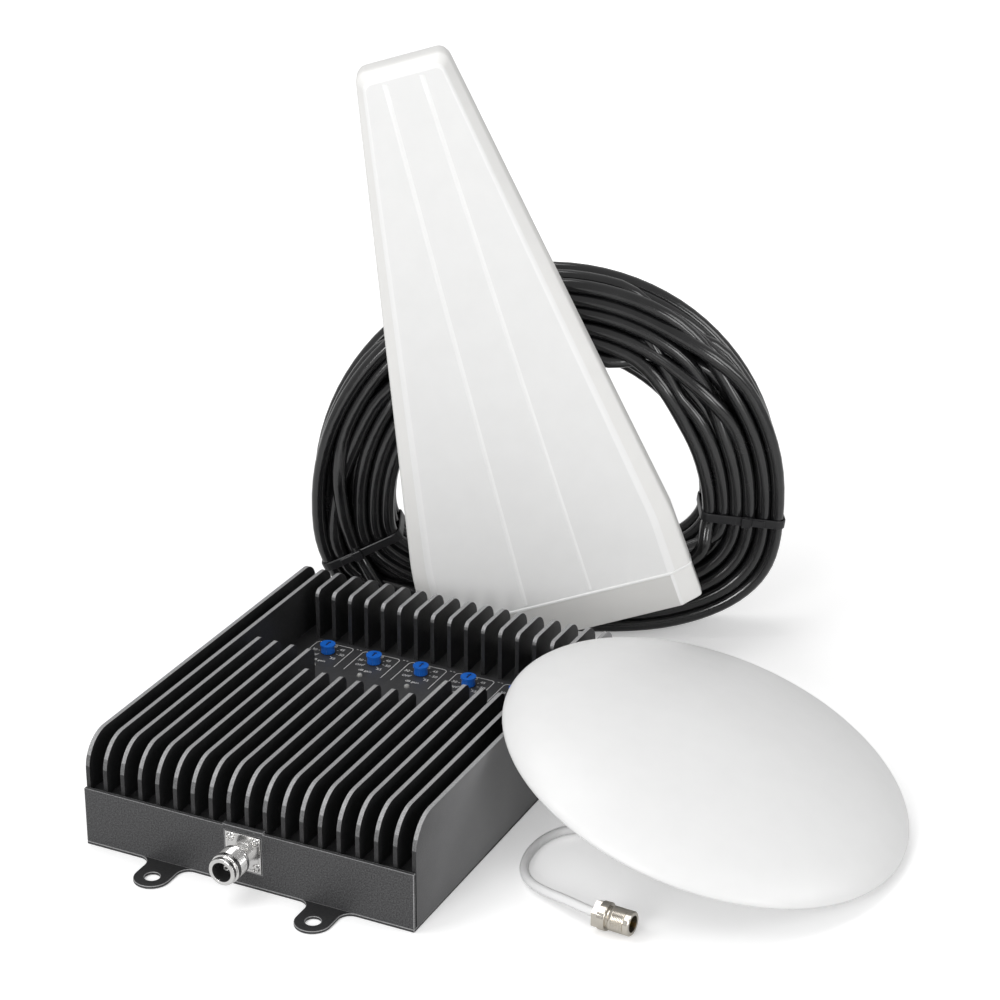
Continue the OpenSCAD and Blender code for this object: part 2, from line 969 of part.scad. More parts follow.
// Lead from the stud to its socket. Points are round numbers along the centre line
lead_r = 3;
lead_path = [[225.5, 42.7, 28.5], [223.8, 42.5, 22.7], [221.4, 41.6, 16.4], [217, 39, 11.2],
    [210, 34.6, 8], [200.5, 27.6, 6.4], [189, 18.8, 5.6], [176, 9.6, 5], [163, 1.4, 4.6],
    [151.5, -8, 4], [145.4, -20, 3.4], [143.6, -34, 3], [145.2, -47.5, 3], [149.4, -59, 3.1],
    [156.4, -68.6, 3.5], [165.6, -75.6, 4.6], [177, -81.2, 6.2], [190, -86.2, 8], [203, -91, 9.2],
    [211, -93.2, 9.5], [217.5, -94, 9.5]];
plug_pos = [239.9, -95.6, 9.5];
plug_yaw = -4.1;

function unit(v) = v / norm(v);
function path_tangent(p, i) = unit(p[min(i + 1, len(p) - 1)] - p[max(i - 1, 0)]);
function tube_ring(c, t, r, sides) =
    let (u = unit(cross(t, [0, 0.1, 1])), w = cross(t, u))
    [for (k = [0 : sides - 1]) c + r * (cos(360 * k / sides) * u + sin(360 * k / sides) * w)];

// Round tube swept along a list of points
module tube(p, r, sides) {
    rings = len(p);
    points = [for (i = [0 : rings - 1]) each tube_ring(p[i], path_tangent(p, i), r, sides)];
    walls = [for (i = [0 : rings - 2]) for (k = [0 : sides - 1])
        [i * sides + k, i * sides + (k + 1) % sides,
        (i + 1) * sides + (k + 1) % sides, (i + 1) * sides + k]];
    ends = [[for (k = [sides - 1 : -1 : 0]) k],
        [for (k = [0 : sides - 1]) (rings - 1) * sides + k]];
    polyhedron(points, concat(walls, ends));
}

module pigtail_cable() {
    color("#f2f2f2") tube(lead_path, lead_r, 12);
}

module at_lead_socket() {
    translate(plug_pos)
        rotate([0, 0, plug_yaw])
            rotate([0, 90, 0])
                children();
}

lead_socket_l = 25;
module pigtail_port_shell() {
    color(nickel) at_lead_socket() difference() {
        union() {
            n_socket_shell(20, 7, -13.5);
            rotate_extrude()
                polygon([[4, -21], [9.1, -21], [9.1, -16.5], [8.7, -16], [4, -16]]);
            translate([0, 0, -lead_socket_l])
                cylinder(r = 9.2, h = 4.2, $fn = 6);
        }
        translate([0, 0, -22])
            cylinder(r = 3, h = 14);
        translate([0, 0, -lead_socket_l - 1])
            cylinder(r = 1.2, h = 14);
    }
}

module pigtail_port_insulator() {
    color(ptfe) at_lead_socket() n_socket_insulator(20);
}

module pigtail_port_contact() {
    color(gold) at_lead_socket() n_socket_contact(20);
}

// ---------- cable coil ----------

module at_coil() {
    translate(coil_foot)
        rotate([0, 0, stand_yaw])
            children();
}

settle = 2.8;
function spow(v, e) = sign(v) * pow(abs(v), e);

// Point of the coil's outline at angle a, moved in by s; flatter below its widest line
function coil_point(a, s) = sin(a) >= 0
    ? [(coil_rx - s) * cos(a), coil_low + (coil_up - s) * sin(a)]
    : [(coil_rx - s) * spow(cos(a), 2 / settle), coil_low + (coil_low - s) * spow(sin(a), 2 / settle)];

module coil_outline(s) {
    polygon([for (a = [0 : 5 : 355]) coil_point(a, s)]);
}

module coil_cable() {
    color(jacket_black) at_coil() translate([0, coil_t / 2, 0])
        rotate([90, 0, 0])
            linear_extrude(coil_t)
                difference() {
                    coil_outline(0);
                    coil_outline(coil_band);
                }
}

// The plugs lie behind the foot of the coil. side is 1 for the right one
plug_back = coil_t / 2 + 11.4;
plug_low_z = 17;
plug_high_z = 46;
tail_x = 12;
tail_end_x = 42;
plug_l = 46;
function plug_z(side) = side > 0 ? plug_low_z : plug_high_z;

// Local +Z of the child points the way the plug points, with its mouth at z = 0
module at_plug(side) {
    at_coil() translate([side * (tail_end_x + plug_l), plug_back, plug_z(side)])
        rotate([0, side * 90, 0])
            children();
}

module coil_tails() {
    color(jacket_black) at_coil() for (side = [-1, 1])
        tube([[side * (tail_x - 60), coil_t / 2 - 7, plug_z(side)],
            [side * (tail_x - 40), coil_t / 2 - 5.4, plug_z(side)],
            [side * (tail_x - 22), coil_t / 2 - 1.6, plug_z(side)],
            [side * (tail_x - 4), coil_t / 2 + 4.6, plug_z(side)],
            [side * (tail_x + 12), coil_t / 2 + 9.2, plug_z(side)],
            [side * (tail_end_x - 8), plug_back, plug_z(side)],
            [side * tail_end_x, plug_back, plug_z(side)],
            [side * (tail_end_x + 11), plug_back, plug_z(side)]], coax_d / 2, 12);
}

// Closed loop round the bundle, with its locking head on the front
module tie(a, head_side) {
    p = coil_point(a, coil_band / 2);
    q = coil_point(a, 0);
    d = q - coil_point(a, coil_band);
    turn = atan2(d[1], d[0]);
    reach = norm(d) / 2;
    translate([p[0], 0, p[1]])
        rotate([0, -turn, 0]) {
            difference() {
                cube([2 * reach + 3.2, coil_t + 3.2, 5], center = true);
                cube([2 * reach + 0.2, coil_t + 0.2, 6], center = true);
            }
            translate([8, head_side * (coil_t / 2 + 2.6), 0])
                cube([8, 2.2, 7], center = true);
        }
}

module coil_ties() {
    color("#0c0c0c") at_coil() {
        tie(-3, -1);
        tie(116, 1);
        tie(200, -1);
    }
}

// Cable plug: ferrule, neck, snap flange and barrel
module plug_shell() {
    difference() {
        rotate_extrude()
            polygon([[coax_d / 2 + 0.1, -plug_l], [6.9, -plug_l], [6.9, -34], [8, -33.5], [8, -24.5],
                [7, -24], [7, -20.4], [8.2, -20.4], [8.2, -18.6], [6.6, -18.2], [4.9, -8], [4.9, -3],
                [4.3, -3], [4.3, -12], [2.5, -12], [2.5, -34], [coax_d / 2 + 0.1, -34]]);
    }
}

module plug_nut() {
    difference() {
        rotate_extrude()
            polygon([[7.06, -24], [9.8, -24], [10.5, -23.3], [10.5, -1], [9.8, 0], [8.5, 0],
                [8.5, -20.7], [7.06, -20.7]]);
        for (k = [0 : 15 : 345])
            rotate([0, 0, k])
                translate([10.7, 0, -24])
                    cylinder(r = 0.6, h = 20);
    }
}

module plug_a_shell() {
    color(nickel) at_plug(1) plug_shell();
}

module plug_b_shell() {
    color(nickel) at_plug(-1) plug_shell();
}

module plug_a_nut() {
    color(nickel) at_plug(1) plug_nut();
}

module plug_b_nut() {
    color(nickel) at_plug(-1) plug_nut();
}

module plug_insulators() {
    color(ptfe) for (side = [-1, 1])
        at_plug(side) ring(2.46, 0.85, -33.5, 21.5);
}

module plug_pins() {
    color(gold) for (side = [-1, 1])
        at_plug(side) {
            translate([0, 0, -33.5])
                cylinder(r = 0.8, h = 29);
            translate([0, 0, -4.5])
                cylinder(r1 = 0.8, r2 = 0.35, h = 1.5);
        }
}

housing();
front_plate();
rear_plate();
base_plate();
control_label();
circuit_board();
rf_shields();
board_standoffs();
gain_controls();
status_leds();
knob_1();
knob_2();
knob_3();
knob_4();
knob_5();
front_port_shell();
front_port_insulator();
front_port_contact();
front_port_screws();
rear_port_shell();
rear_port_insulator();
rear_port_contact();
rear_port_screws();
power_jack();
case_screws();
antenna_radome();
antenna_back_cover();
antenna_end_cap();
antenna_front_boom();
antenna_rear_boom();
antenna_boom_spacers();
antenna_feed_cable();
antenna_port_shell();
antenna_port_insulator();
antenna_port_contact();
antenna_screws();
dome_shell();
dome_base();
dome_stud();
dome_gasket();
dome_washer();
dome_nut();
dome_ground_plane();
dome_radiator();
dome_screws();
pigtail_cable();
pigtail_port_shell();
pigtail_port_insulator();
pigtail_port_contact();
coil_cable();
coil_tails();
coil_ties();
plug_a_shell();
plug_b_shell();
plug_insulators();
plug_pins();
plug_a_nut();
plug_b_nut();
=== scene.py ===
"""Looks of the signal booster kit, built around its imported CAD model. Metres, same frame as the CAD."""

import math
import random

import bmesh
import bpy
from mathutils import Matrix, Vector


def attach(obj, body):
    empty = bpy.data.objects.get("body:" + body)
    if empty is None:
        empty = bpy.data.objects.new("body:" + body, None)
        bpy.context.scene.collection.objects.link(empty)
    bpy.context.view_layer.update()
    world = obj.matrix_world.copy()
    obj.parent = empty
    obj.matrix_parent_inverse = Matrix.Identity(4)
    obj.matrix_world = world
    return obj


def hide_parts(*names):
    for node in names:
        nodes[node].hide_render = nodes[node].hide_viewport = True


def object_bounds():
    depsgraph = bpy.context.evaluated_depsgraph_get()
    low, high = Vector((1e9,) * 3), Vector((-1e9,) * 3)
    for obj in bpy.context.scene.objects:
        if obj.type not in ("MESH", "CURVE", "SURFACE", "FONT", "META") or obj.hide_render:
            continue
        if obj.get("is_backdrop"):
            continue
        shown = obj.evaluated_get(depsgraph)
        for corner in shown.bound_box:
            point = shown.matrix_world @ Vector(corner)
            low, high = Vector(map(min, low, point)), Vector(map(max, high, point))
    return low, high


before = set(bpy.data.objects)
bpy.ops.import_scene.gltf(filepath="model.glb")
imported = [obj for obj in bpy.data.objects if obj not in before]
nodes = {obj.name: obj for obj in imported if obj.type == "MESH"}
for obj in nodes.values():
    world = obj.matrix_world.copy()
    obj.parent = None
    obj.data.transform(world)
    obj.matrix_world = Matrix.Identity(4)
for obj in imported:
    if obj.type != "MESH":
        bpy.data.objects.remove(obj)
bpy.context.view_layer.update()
MM = 0.001
rad = math.radians
scene = bpy.context.scene

# ------------------------------------------------------------------ camera
AZ, EL, ROLL = rad(25.84), rad(24.19), rad(0.20)
TARGET = Vector((0.1029, 0.0, 0.2260))
DIST = 1.7318
cam_data = bpy.data.cameras.new("camera")
cam_data.sensor_width = 36.0
cam_data.lens = 100.1
cam_data.clip_end = 50
cam = bpy.data.objects.new("camera", cam_data)
scene.collection.objects.link(cam)
out = Vector((math.sin(AZ) * math.cos(EL), -math.cos(AZ) * math.cos(EL), math.sin(EL)))
right = Vector((math.cos(AZ), math.sin(AZ), 0))
up = right.cross(-out)
r2 = math.cos(ROLL) * right + math.sin(ROLL) * up
u2 = -math.sin(ROLL) * right + math.cos(ROLL) * up
rot = Matrix((r2, u2, out)).transposed().to_4x4()
cam.matrix_world = Matrix.Translation(TARGET + out * DIST) @ rot
scene.camera = cam

# ------------------------------------------------------------------ local frames
COIL = Matrix.Translation((0.0146, 0.263, 0)) @ Matrix.Rotation(rad(26), 4, "Z")
ANT = (Matrix.Translation((-0.0321, 0.1657, 0)) @ Matrix.Rotation(rad(26), 4, "Z")
       @ Matrix.Rotation(rad(-15.4), 4, "Y"))
TILT = rad(16.9)
DOME_R, DOME_H, DOME_LIP = 0.1372, 0.0384, 0.002
DOME_RISE = 0.004
DOME = (Matrix.Translation((0.2301, 0.0432, DOME_R * math.sin(TILT) + DOME_RISE))
        @ Matrix.Rotation(rad(6.3), 4, "Z") @ Matrix.Rotation(TILT, 4, "Y"))


# ------------------------------------------------------------------ materials
class Mat:
    """A small builder for node materials."""

    def __init__(self, name, color, rough, metal=0.0, spec=0.5, coat=0.0, coat_rough=0.1):
        self.m = bpy.data.materials.new(name)
        self.m.use_nodes = True
        self.nt = self.m.node_tree
        self.b = self.nt.nodes["Principled BSDF"]
        self.b.inputs["Base Color"].default_value = (*color, 1)
        self.b.inputs["Roughness"].default_value = rough
        self.b.inputs["Metallic"].default_value = metal
        self.b.inputs["Specular IOR Level"].default_value = spec
        self.b.inputs["Coat Weight"].default_value = coat
        self.b.inputs["Coat Roughness"].default_value = coat_rough
        self.normal = None
        self.coord = self.nt.nodes.new("ShaderNodeTexCoord")

    def node(self, kind, **values):
        n = self.nt.nodes.new(kind)
        for key, value in values.items():
            if key in n.inputs.keys():
                n.inputs[key].default_value = value
            else:
                setattr(n, key, value)
        return n

    def noise(self, scale, detail=4.0, rough=0.55, stretch=(1, 1, 1)):
        mapping = self.node("ShaderNodeMapping", Scale=stretch)
        self.nt.links.new(self.coord.outputs["Object"], mapping.inputs["Vector"])
        n = self.node("ShaderNodeTexNoise", Scale=scale, Detail=detail, Roughness=rough)
        self.nt.links.new(mapping.outputs["Vector"], n.inputs["Vector"])
        return n.outputs["Fac"]

    def ramp(self, fac, low, high, p0=0.3, p1=0.7):
        r = self.node("ShaderNodeValToRGB")
        r.color_ramp.elements[0].position = p0
        r.color_ramp.elements[1].position = p1
        r.color_ramp.elements[0].color = (*low, 1)
        r.color_ramp.elements[1].color = (*high, 1)
        self.nt.links.new(fac, r.inputs["Fac"])
        return r.outputs["Color"]

    def spread(self, fac, low, high, p0=0.3, p1=0.7):
        r = self.node("ShaderNodeMapRange")
        for key, value in (("From Min", p0), ("From Max", p1), ("To Min", low), ("To Max", high)):
            r.inputs[key].default_value = value
        self.nt.links.new(fac, r.inputs["Value"])
        return r.outputs["Result"]

    def color(self, socket):
        self.nt.links.new(socket, self.b.inputs["Base Color"])
        return self

    def rough(self, socket):
        self.nt.links.new(socket, self.b.inputs["Roughness"])
        return self

    def bump(self, height, strength, distance):
        n = self.node("ShaderNodeBump", Strength=strength, Distance=distance)
        self.nt.links.new(height, n.inputs["Height"])
        if self.normal is not None:
            self.nt.links.new(self.normal, n.inputs["Normal"])
        self.normal = n.outputs["Normal"]
        self.nt.links.new(self.normal, self.b.inputs["Normal"])
        return self


def powder(name, base, bright, rough):
    """Speckled powder coat."""
    m = Mat(name, base, rough, spec=0.5)
    cloud = m.noise(35, 3)
    grain = m.noise(1000, 3, 0.7)
    m.color(m.ramp(grain, base, bright, 0.36, 0.68))
    m.rough(m.spread(cloud, rough - 0.05, rough + 0.07))
    m.bump(grain, 0.35, 0.00035)
    return m


def plain(name, base, rough, grain=900, depth=0.1, vary=0.06, **kw):
    """Smooth finish with a little mottling and fine grain."""
    m = Mat(name, base, rough, **kw)
    lo = tuple(c * (1 - vary) for c in base)
    hi = tuple(min(1, c * (1 + vary)) for c in base)
    m.color(m.ramp(m.noise(60, 3), lo, hi))
    m.rough(m.spread(m.noise(140, 4), rough * 0.88, min(1, rough * 1.15)))
    m.bump(m.noise(grain, 3), depth, 0.0002)
    return m


BLACK = powder("black_powder_coat", (0.010, 0.010, 0.0105), (0.028, 0.028, 0.029), 0.40)
# Painted highlight: a bright copy of the black coat for the fin tops and rounded edges
EDGE_HIGHLIGHT = powder("black_coat_painted_highlight", (0.20, 0.20, 0.203), (0.36, 0.36, 0.364), 0.27)
PLATE = powder("black_plate_coat", (0.012, 0.012, 0.0125), (0.088, 0.088, 0.091), 0.38)
# Dimmer painted highlight for the fins' steeper faces and the housing's rounded edges
DIM_EDGE_HIGHLIGHT = powder("black_coat_painted_dim_highlight", (0.08, 0.08, 0.082), (0.17, 0.17, 0.172), 0.30)
WALL_PAINTED_LIGHT = powder("black_coat_painted_light_wall", (0.06, 0.06, 0.061), (0.2, 0.2, 0.203), 0.36)
# Painted light: the side coat is a lighter copy of the black coat, lighter still towards its middle
place = WALL_PAINTED_LIGHT.node("ShaderNodeSeparateXYZ")
WALL_PAINTED_LIGHT.nt.links.new(WALL_PAINTED_LIGHT.coord.outputs["Object"], place.inputs[0])
towards_middle = WALL_PAINTED_LIGHT.spread(place.outputs["Y"], 0, 1, -0.15, -0.02)
WALL_PAINTED_LIGHT.color(WALL_PAINTED_LIGHT.ramp(towards_middle, (0.075, 0.075, 0.077), (0.30, 0.30, 0.305), 0, 1))
LABEL = plain("panel_film", (0.030, 0.030, 0.032), 0.48, grain=1800, depth=0.12)
PRINT = plain("panel_print", (0.62, 0.62, 0.62), 0.55)
BLUE = plain("knob_blue", (0.006, 0.125, 0.56), 0.30, grain=1200, depth=0.05, coat=0.25)
NICKEL = plain("nickel_plate", (0.78, 0.775, 0.765), 0.17, grain=2200, depth=0.08, metal=1.0)
NICKEL_WARM = plain("nickel_plate_warm", (0.70, 0.66, 0.59), 0.20, grain=2200, depth=0.08, metal=1.0)
GOLD = plain("gold_plate", (0.83, 0.58, 0.20), 0.25, metal=1.0)
PTFE = plain("insulator", (0.70, 0.69, 0.65), 0.5)
# Painted shade: near-black insulators for ports whose insides lie in shade
SHADED_CORE = plain("insulator_painted_shade", (0.022, 0.018, 0.014), 0.45)
# Painted shade for the inside of a port's bore
BORE_SHADE = plain("port_bore_painted_shade", (0.03, 0.03, 0.03), 0.28, spec=0.7)
LENS = plain("indicator_lens", (0.30, 0.30, 0.29), 0.08, coat=1.0, coat_rough=0.03)
MARK = plain("knob_mark", (0.002, 0.012, 0.06), 0.5)
# Painted light: the radome plastic a touch lighter and warmer, for its sloping sides
SLOPE_PAINTED_LIGHT = plain("radome_slope_painted_light", (0.79, 0.785, 0.77), 0.42, grain=1600, depth=0.10, vary=0.012)
# Painted highlight: the radome plastic brighter, for its creases, roundings and the end cap's lip
CREASE_HIGHLIGHT = plain("radome_crease", (0.84, 0.84, 0.835), 0.36, grain=1600, depth=0.05, vary=0.01)
SCREW = plain("dark_screw", (0.03, 0.03, 0.03), 0.35, metal=0.6)
MOULD = plain("moulded_black", (0.02, 0.02, 0.022), 0.5)
BOARD = plain("circuit_board", (0.012, 0.10, 0.04), 0.4)
TIN = plain("tin_plate", (0.7, 0.7, 0.68), 0.3, metal=1.0)
ALU = plain("mill_aluminium", (0.75, 0.75, 0.76), 0.38, metal=1.0)
COPPER = plain("copper_sheet", (0.72, 0.38, 0.18), 0.35, metal=1.0)
RADOME = plain("radome_plastic", (0.78, 0.78, 0.775), 0.42, grain=1600, depth=0.10, vary=0.012)
CAP = plain("end_cap_plastic", (0.62, 0.615, 0.60), 0.45, grain=1600, depth=0.10, vary=0.012)
DOME_MAT = plain("dome_plastic", (0.76, 0.76, 0.758), 0.38, grain=1400, depth=0.05, vary=0.01)
NYLON = plain("white_nylon", (0.80, 0.80, 0.79), 0.5)
FOAM = plain("gasket_foam", (0.02, 0.02, 0.02), 0.9, grain=500, depth=0.5)
WHITE_LEAD = plain("white_jacket", (0.84, 0.84, 0.84), 0.36, grain=1500, depth=0.06, vary=0.012)
TIE = plain("tie_nylon", (0.010, 0.010, 0.011), 0.34)
JACKET = Mat("black_jacket", (0.006, 0.006, 0.0065), 0.32, spec=0.5, coat=0.6, coat_rough=0.09)
JACKET.color(JACKET.ramp(JACKET.noise(28, 4), (0.004, 0.004, 0.0045), (0.011, 0.011, 0.0115)))
JACKET.rough(JACKET.spread(JACKET.noise(90, 5), 0.13, 0.28))
JACKET.bump(JACKET.noise(420, 5, 0.6), 0.14, 0.0004)


def paint(obj, *mats):
    obj.data.materials.clear()
    for m in mats:
        obj.data.materials.append(m.m)


# ------------------------------------------------------------------ mesh helpers
def mesh_object(name, bm, mat, body, smooth=True):
    me = bpy.data.meshes.new(name)
    bmesh.ops.recalc_face_normals(bm, faces=bm.faces)
    bm.to_mesh(me)
    bm.free()
    for p in me.polygons:
        p.use_smooth = smooth
    obj = bpy.data.objects.new(name, me)
    scene.collection.objects.link(obj)
    me.materials.append(mat.m)
    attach(obj, body)
    return obj


def add_mod(obj, kind, name, **values):
    mod = obj.modifiers.new(name, kind)
    for key, value in values.items():
        setattr(mod, key, value)
    return mod


def soften(node, width, segments=2, angle=35, highlight_slot=None):
    """Welds a CAD node's seams and rounds its edges."""
    obj = nodes[node]
    add_mod(obj, "WELD", "weld", merge_threshold=0.000004)
    bev = add_mod(obj, "BEVEL", "bevel", width=width, segments=segments, limit_method="ANGLE",
                  angle_limit=rad(angle), harden_normals=False, use_clamp_overlap=True)
    # The rounding takes the coat in this slot, a painted highlight
    if highlight_slot is not None:
        bev.material = highlight_slot
    for p in obj.data.polygons:
        p.use_smooth = True
    add_mod(obj, "WEIGHTED_NORMAL", "normals", keep_sharp=False, weight=80)
    return obj


# ------------------------------------------------------------------ cable coil (a cord)
# Half width, rise and drop from its centre, band of strands, thickness, strand
CX, CUP, CLOW, BAND, CT, CD = 0.172, 0.177, 0.104, 0.061, 0.042, 0.0103
SETTLE = 2.8     # power of the flattened lower half
TIE_ANGLES = {"right": -3, "top": 116, "left": 200}


def spow(v, e):
    """Power that keeps the sign."""
    return math.copysign(abs(v) ** e, v)


def coil_point(a, s):
    """Point of the coil's outline at angle a in degrees, moved in by s."""
    c, d = math.cos(rad(a)), math.sin(rad(a))
    if d >= 0:
        return (CX - s) * c, CLOW + (CUP - s) * d
    return (CX - s) * spow(c, 2 / SETTLE), CLOW + (CLOW - s) * spow(d, 2 / SETTLE)


# Slots of the wound bundle: layers from front to back, columns from outside in
layer_y = [-CT / 2 + CD / 2 + j * (CT - CD) / 4 for j in range(5)]
column = (BAND - CD) / 5
slots = []
for j, y in enumerate(layer_y):
    row = [CD / 2 + (i + (0.5 if j % 2 else 0)) * column for i in range(5 if j % 2 else 6)]
    if j % 2:
        row.reverse()
    slots += [(s, y) for s in row]
slots.reverse()
TURNS = len(slots)
rng = random.Random(7)
waves = [[(rng.uniform(0.4, 1.0), rng.uniform(0, 6.28), n) for n in (1, 2, 3)] for _ in range(TURNS)]
# Strands that change places for part of a turn: (turn, turn, from angle, to angle)
N = TURNS
swaps = [(N - 3, N - 4, 20, 150), (N - 5, N - 6, 318, 64), (N - 2, N - 3, 158, 238), (N - 1, N - 2, 30, 118),
         (N - 6, N - 10, 38, 132), (N - 12, N - 15, 40, 140)]


def gate(a, start, end, soft):
    """1 between two angles round the circle and 0 outside, with soft ends."""
    a, end = (a - start) % 360, (end - start) % 360
    if a > end:
        return 0.0
    k = min(a, end - a) / soft
    k = max(0.0, min(1.0, k))
    return k * k * (3 - 2 * k)


def strand(k, a):
    """Offset from the outside and depth of turn k at angle a."""
    s, y = slots[k]
    amp = 1.1 * MM
    for w, ph, n in waves[k]:
        s += amp * 0.5 * w * math.sin(n * rad(a) + ph)
        y += amp * 0.35 * w * math.sin(n * rad(a) + ph * 1.7)
    for p, q, start, end in swaps:
        if k in (p, q):
            g = gate(a, start, end, 34)
            other = slots[q if k == p else p]
            s += g * (other[0] - slots[k][0])
            y += g * (other[1] - slots[k][1])
            lift = 4 * g * (1 - g)
            y += lift * (-0.0042 if k == p else 0.0030)
    # The ties draw the bundle in
    for tie_at in TIE_ANGLES.values():
        d = abs((a - tie_at + 180) % 360 - 180)
        pull = math.exp(-(d / 13) ** 2)
        s += pull * 0.045 * (BAND / 2 - s)
        y += pull * -0.03 * y
    s = min(max(s, CD / 2), BAND - CD / 2 + 0.001)
    return s, y


START_A = 297.0
END_A = 245.0
PLUG_Z = {1: 0.017, -1: 0.046}


def tail(side):
    """Route from a plug behind the bundle down to its winding."""
    z = PLUG_Z[side]
    pts = [(53, 32.4), (42, 32.4), (34, 32.4), (24, 30.2), (8, 25.6), (-10, 19.4), (-28, 15.6), (-48, 14)]
    return [(side * x * MM, y * MM, z) for x, y in pts]


STEP = 4
path = []
for k in range(TURNS):
    for a in range(0, 360, STEP):
        ang = START_A + a
        if k == TURNS - 1 and ang > END_A + 360:
            break
        s, y = strand(k, ang % 360)
        # Move over to the next slot in the last part of the turn
        g = max(0.0, min(1.0, (a - 300) / 60.0))
        g = g * g * (3 - 2 * g)
        if k + 1 < TURNS:
            s2, y2 = strand(k + 1, ang % 360)
            s, y = s + g * (s2 - s), y + g * (y2 - y)
        x, z = coil_point(ang % 360, s)
        path.append((x, y, z))


def bridge(p, q, tp, tq, count):
    """Smooth joint between two ends, leaving along tp and arriving along tq."""
    p, q, tp, tq = Vector(p), Vector(q), Vector(tp), Vector(tq)
    d = (q - p).length
    res = []
    for i in range(1, count):
        t = i / count
        h = (2 * t ** 3 - 3 * t ** 2 + 1, t ** 3 - 2 * t ** 2 + t, -2 * t ** 3 + 3 * t ** 2, t ** 3 - t ** 2)
        res.append(tuple(h[0] * p + h[1] * d * tp + h[2] * q + h[3] * d * tq))
    return res


def direction(a, b):
    return (Vector(b) - Vector(a)).normalized()


# The winding starts at the back and ends in front; both ends leave through the bundle's foot
head = tail(-1)
foot = list(reversed(tail(1)))
lead_in = bridge(head[-1], path[0], direction(head[-2], head[-1]), direction(path[0], path[1]), 9)
lead_out = bridge(path[-1], foot[0], direction(path[-2], path[-1]), direction(foot[0], foot[1]), 9)
coil_route = head + lead_in + path + lead_out + foot


def cord_curve(name, points, diameter, mat, matrix=None, sides=3):
    """One open spline with a round section."""
    cu = bpy.data.curves.new(name, "CURVE")
    cu.dimensions = "3D"
    sp = cu.splines.new("POLY")
    sp.points.add(len(points) - 1)
    for i, p in enumerate(points):
        q = matrix @ Vector(p) if matrix else Vector(p)
        sp.points[i].co = (*q, 1)
    cu.bevel_depth = diameter / 2
    cu.bevel_resolution = sides
    cu.use_fill_caps = True
    sp.use_smooth = True
    obj = bpy.data.objects.new(name, cu)
    scene.collection.objects.link(obj)
    cu.materials.append(mat.m)
    return obj


coil = cord_curve("wound_cable", coil_route, CD, JACKET, COIL)
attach(coil, "cable_coil")
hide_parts("coil_cable", "coil_tails")


def hull_2d(pts):
    """Convex outline of points in a plane."""
    pts = sorted(set(pts))

    def half(seq):
        h = []
        for p in seq:
            while len(h) > 1 and ((h[-1][0] - h[-2][0]) * (p[1] - h[-2][1])
                                  - (h[-1][1] - h[-2][1]) * (p[0] - h[-2][0])) <= 0:
                h.pop()
            h.append(p)
        return h
    low, high = half(pts), half(reversed(pts))
    return low[:-1] + high[:-1]


def tie_band(name, a, width=0.0066, thick=0.0013):
    """A flat strap drawn tight round the strands at angle a, with its locking head on the front."""
    x0, z0 = coil_point(a, 0)
    x1, z1 = coil_point(a, BAND)
    inward = Vector((x1 - x0, 0, z1 - z0)).normalized()
    along = Vector((0, 1, 0)).cross(inward)
    span = math.hypot(x1 - x0, z1 - z0) / BAND
    around = []
    for k in range(TURNS):
        s, y = strand(k, a % 360)
        for i in range(16):
            t = 2 * math.pi * i / 16
            around.append((s * span + (CD / 2) * math.cos(t), y + (CD / 2) * math.sin(t)))
    loop = hull_2d([(round(p, 6), round(q, 6)) for p, q in around])
    n = len(loop)
    bm = bmesh.new()
    rings = []
    for i in range(n):
        p, q, r = loop[i - 1], loop[i], loop[(i + 1) % n]
        tx, ty = r[0] - p[0], r[1] - p[1]
        m = math.hypot(tx, ty)
        nx, ny = ty / m, -tx / m
        ring = []
        edge = thick * 0.8
        for off, wd in ((0.0001, -1), (edge, -1), (thick, -0.8), (thick, 0.8), (edge, 1), (0.0001, 1)):
            s, y = q[0] + nx * off, q[1] + ny * off
            c = Vector((x0, 0, z0)) + inward * s + Vector((0, y, 0)) + along * (wd * width / 2)
            ring.append(bm.verts.new(COIL @ c))
        rings.append(ring)
    for i in range(n):
        a0, a1 = rings[i], rings[(i + 1) % n]
        for j in range(6):
            bm.faces.new((a0[j], a0[(j + 1) % 6], a1[(j + 1) % 6], a1[j]))
    # Locking head and the trimmed end of the strap
    front = min(q[1] for q in loop)
    lock = (BAND * 0.47, 0.0020, 0.0068, 0.0040, 0.0074)
    strap_end = (BAND * 0.33, 0.0016, 0.0100, 0.0013, 0.0046)
    for cs, hy, sx, sy, sz in (lock, strap_end):
        c = Vector((x0, 0, z0)) + inward * cs + Vector((0, front - hy, 0))
        box = bmesh.ops.create_cube(bm, size=1.0)
        for v in box["verts"]:
            v.co = COIL @ (c + inward * v.co.x * sx + Vector((0, v.co.y * sy, 0)) + along * v.co.z * sz)
    obj = mesh_object(name, bm, TIE, "cable_coil", smooth=False)
    add_mod(obj, "BEVEL", "bevel", width=0.0004, segments=2, limit_method="ANGLE", angle_limit=rad(50))
    return obj


ties = [tie_band(f"coil_tie_{where}", angle) for where, angle in TIE_ANGLES.items()]
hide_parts("coil_ties")

# ------------------------------------------------------------------ dome's lead (a cord)
lead_mm = [(225.5, 42.7, 28.5), (223.8, 42.5, 22.7), (221.4, 41.6, 16.4), (217, 39, 11.2), (210, 34.6, 8),
           (200.5, 27.6, 6.4), (189, 18.8, 5.6), (176, 9.6, 5), (163, 1.4, 4.6), (151.5, -8, 4),
           (145.4, -20, 3.4), (143.6, -34, 3), (145.2, -47.5, 3), (149.4, -59, 3.1), (156.4, -68.6, 3.5),
           (165.6, -75.6, 4.6), (177, -81.2, 6.2), (190, -86.2, 8), (203, -91, 9.2), (211, -93.2, 9.5),
           (217.5, -94, 9.5)]


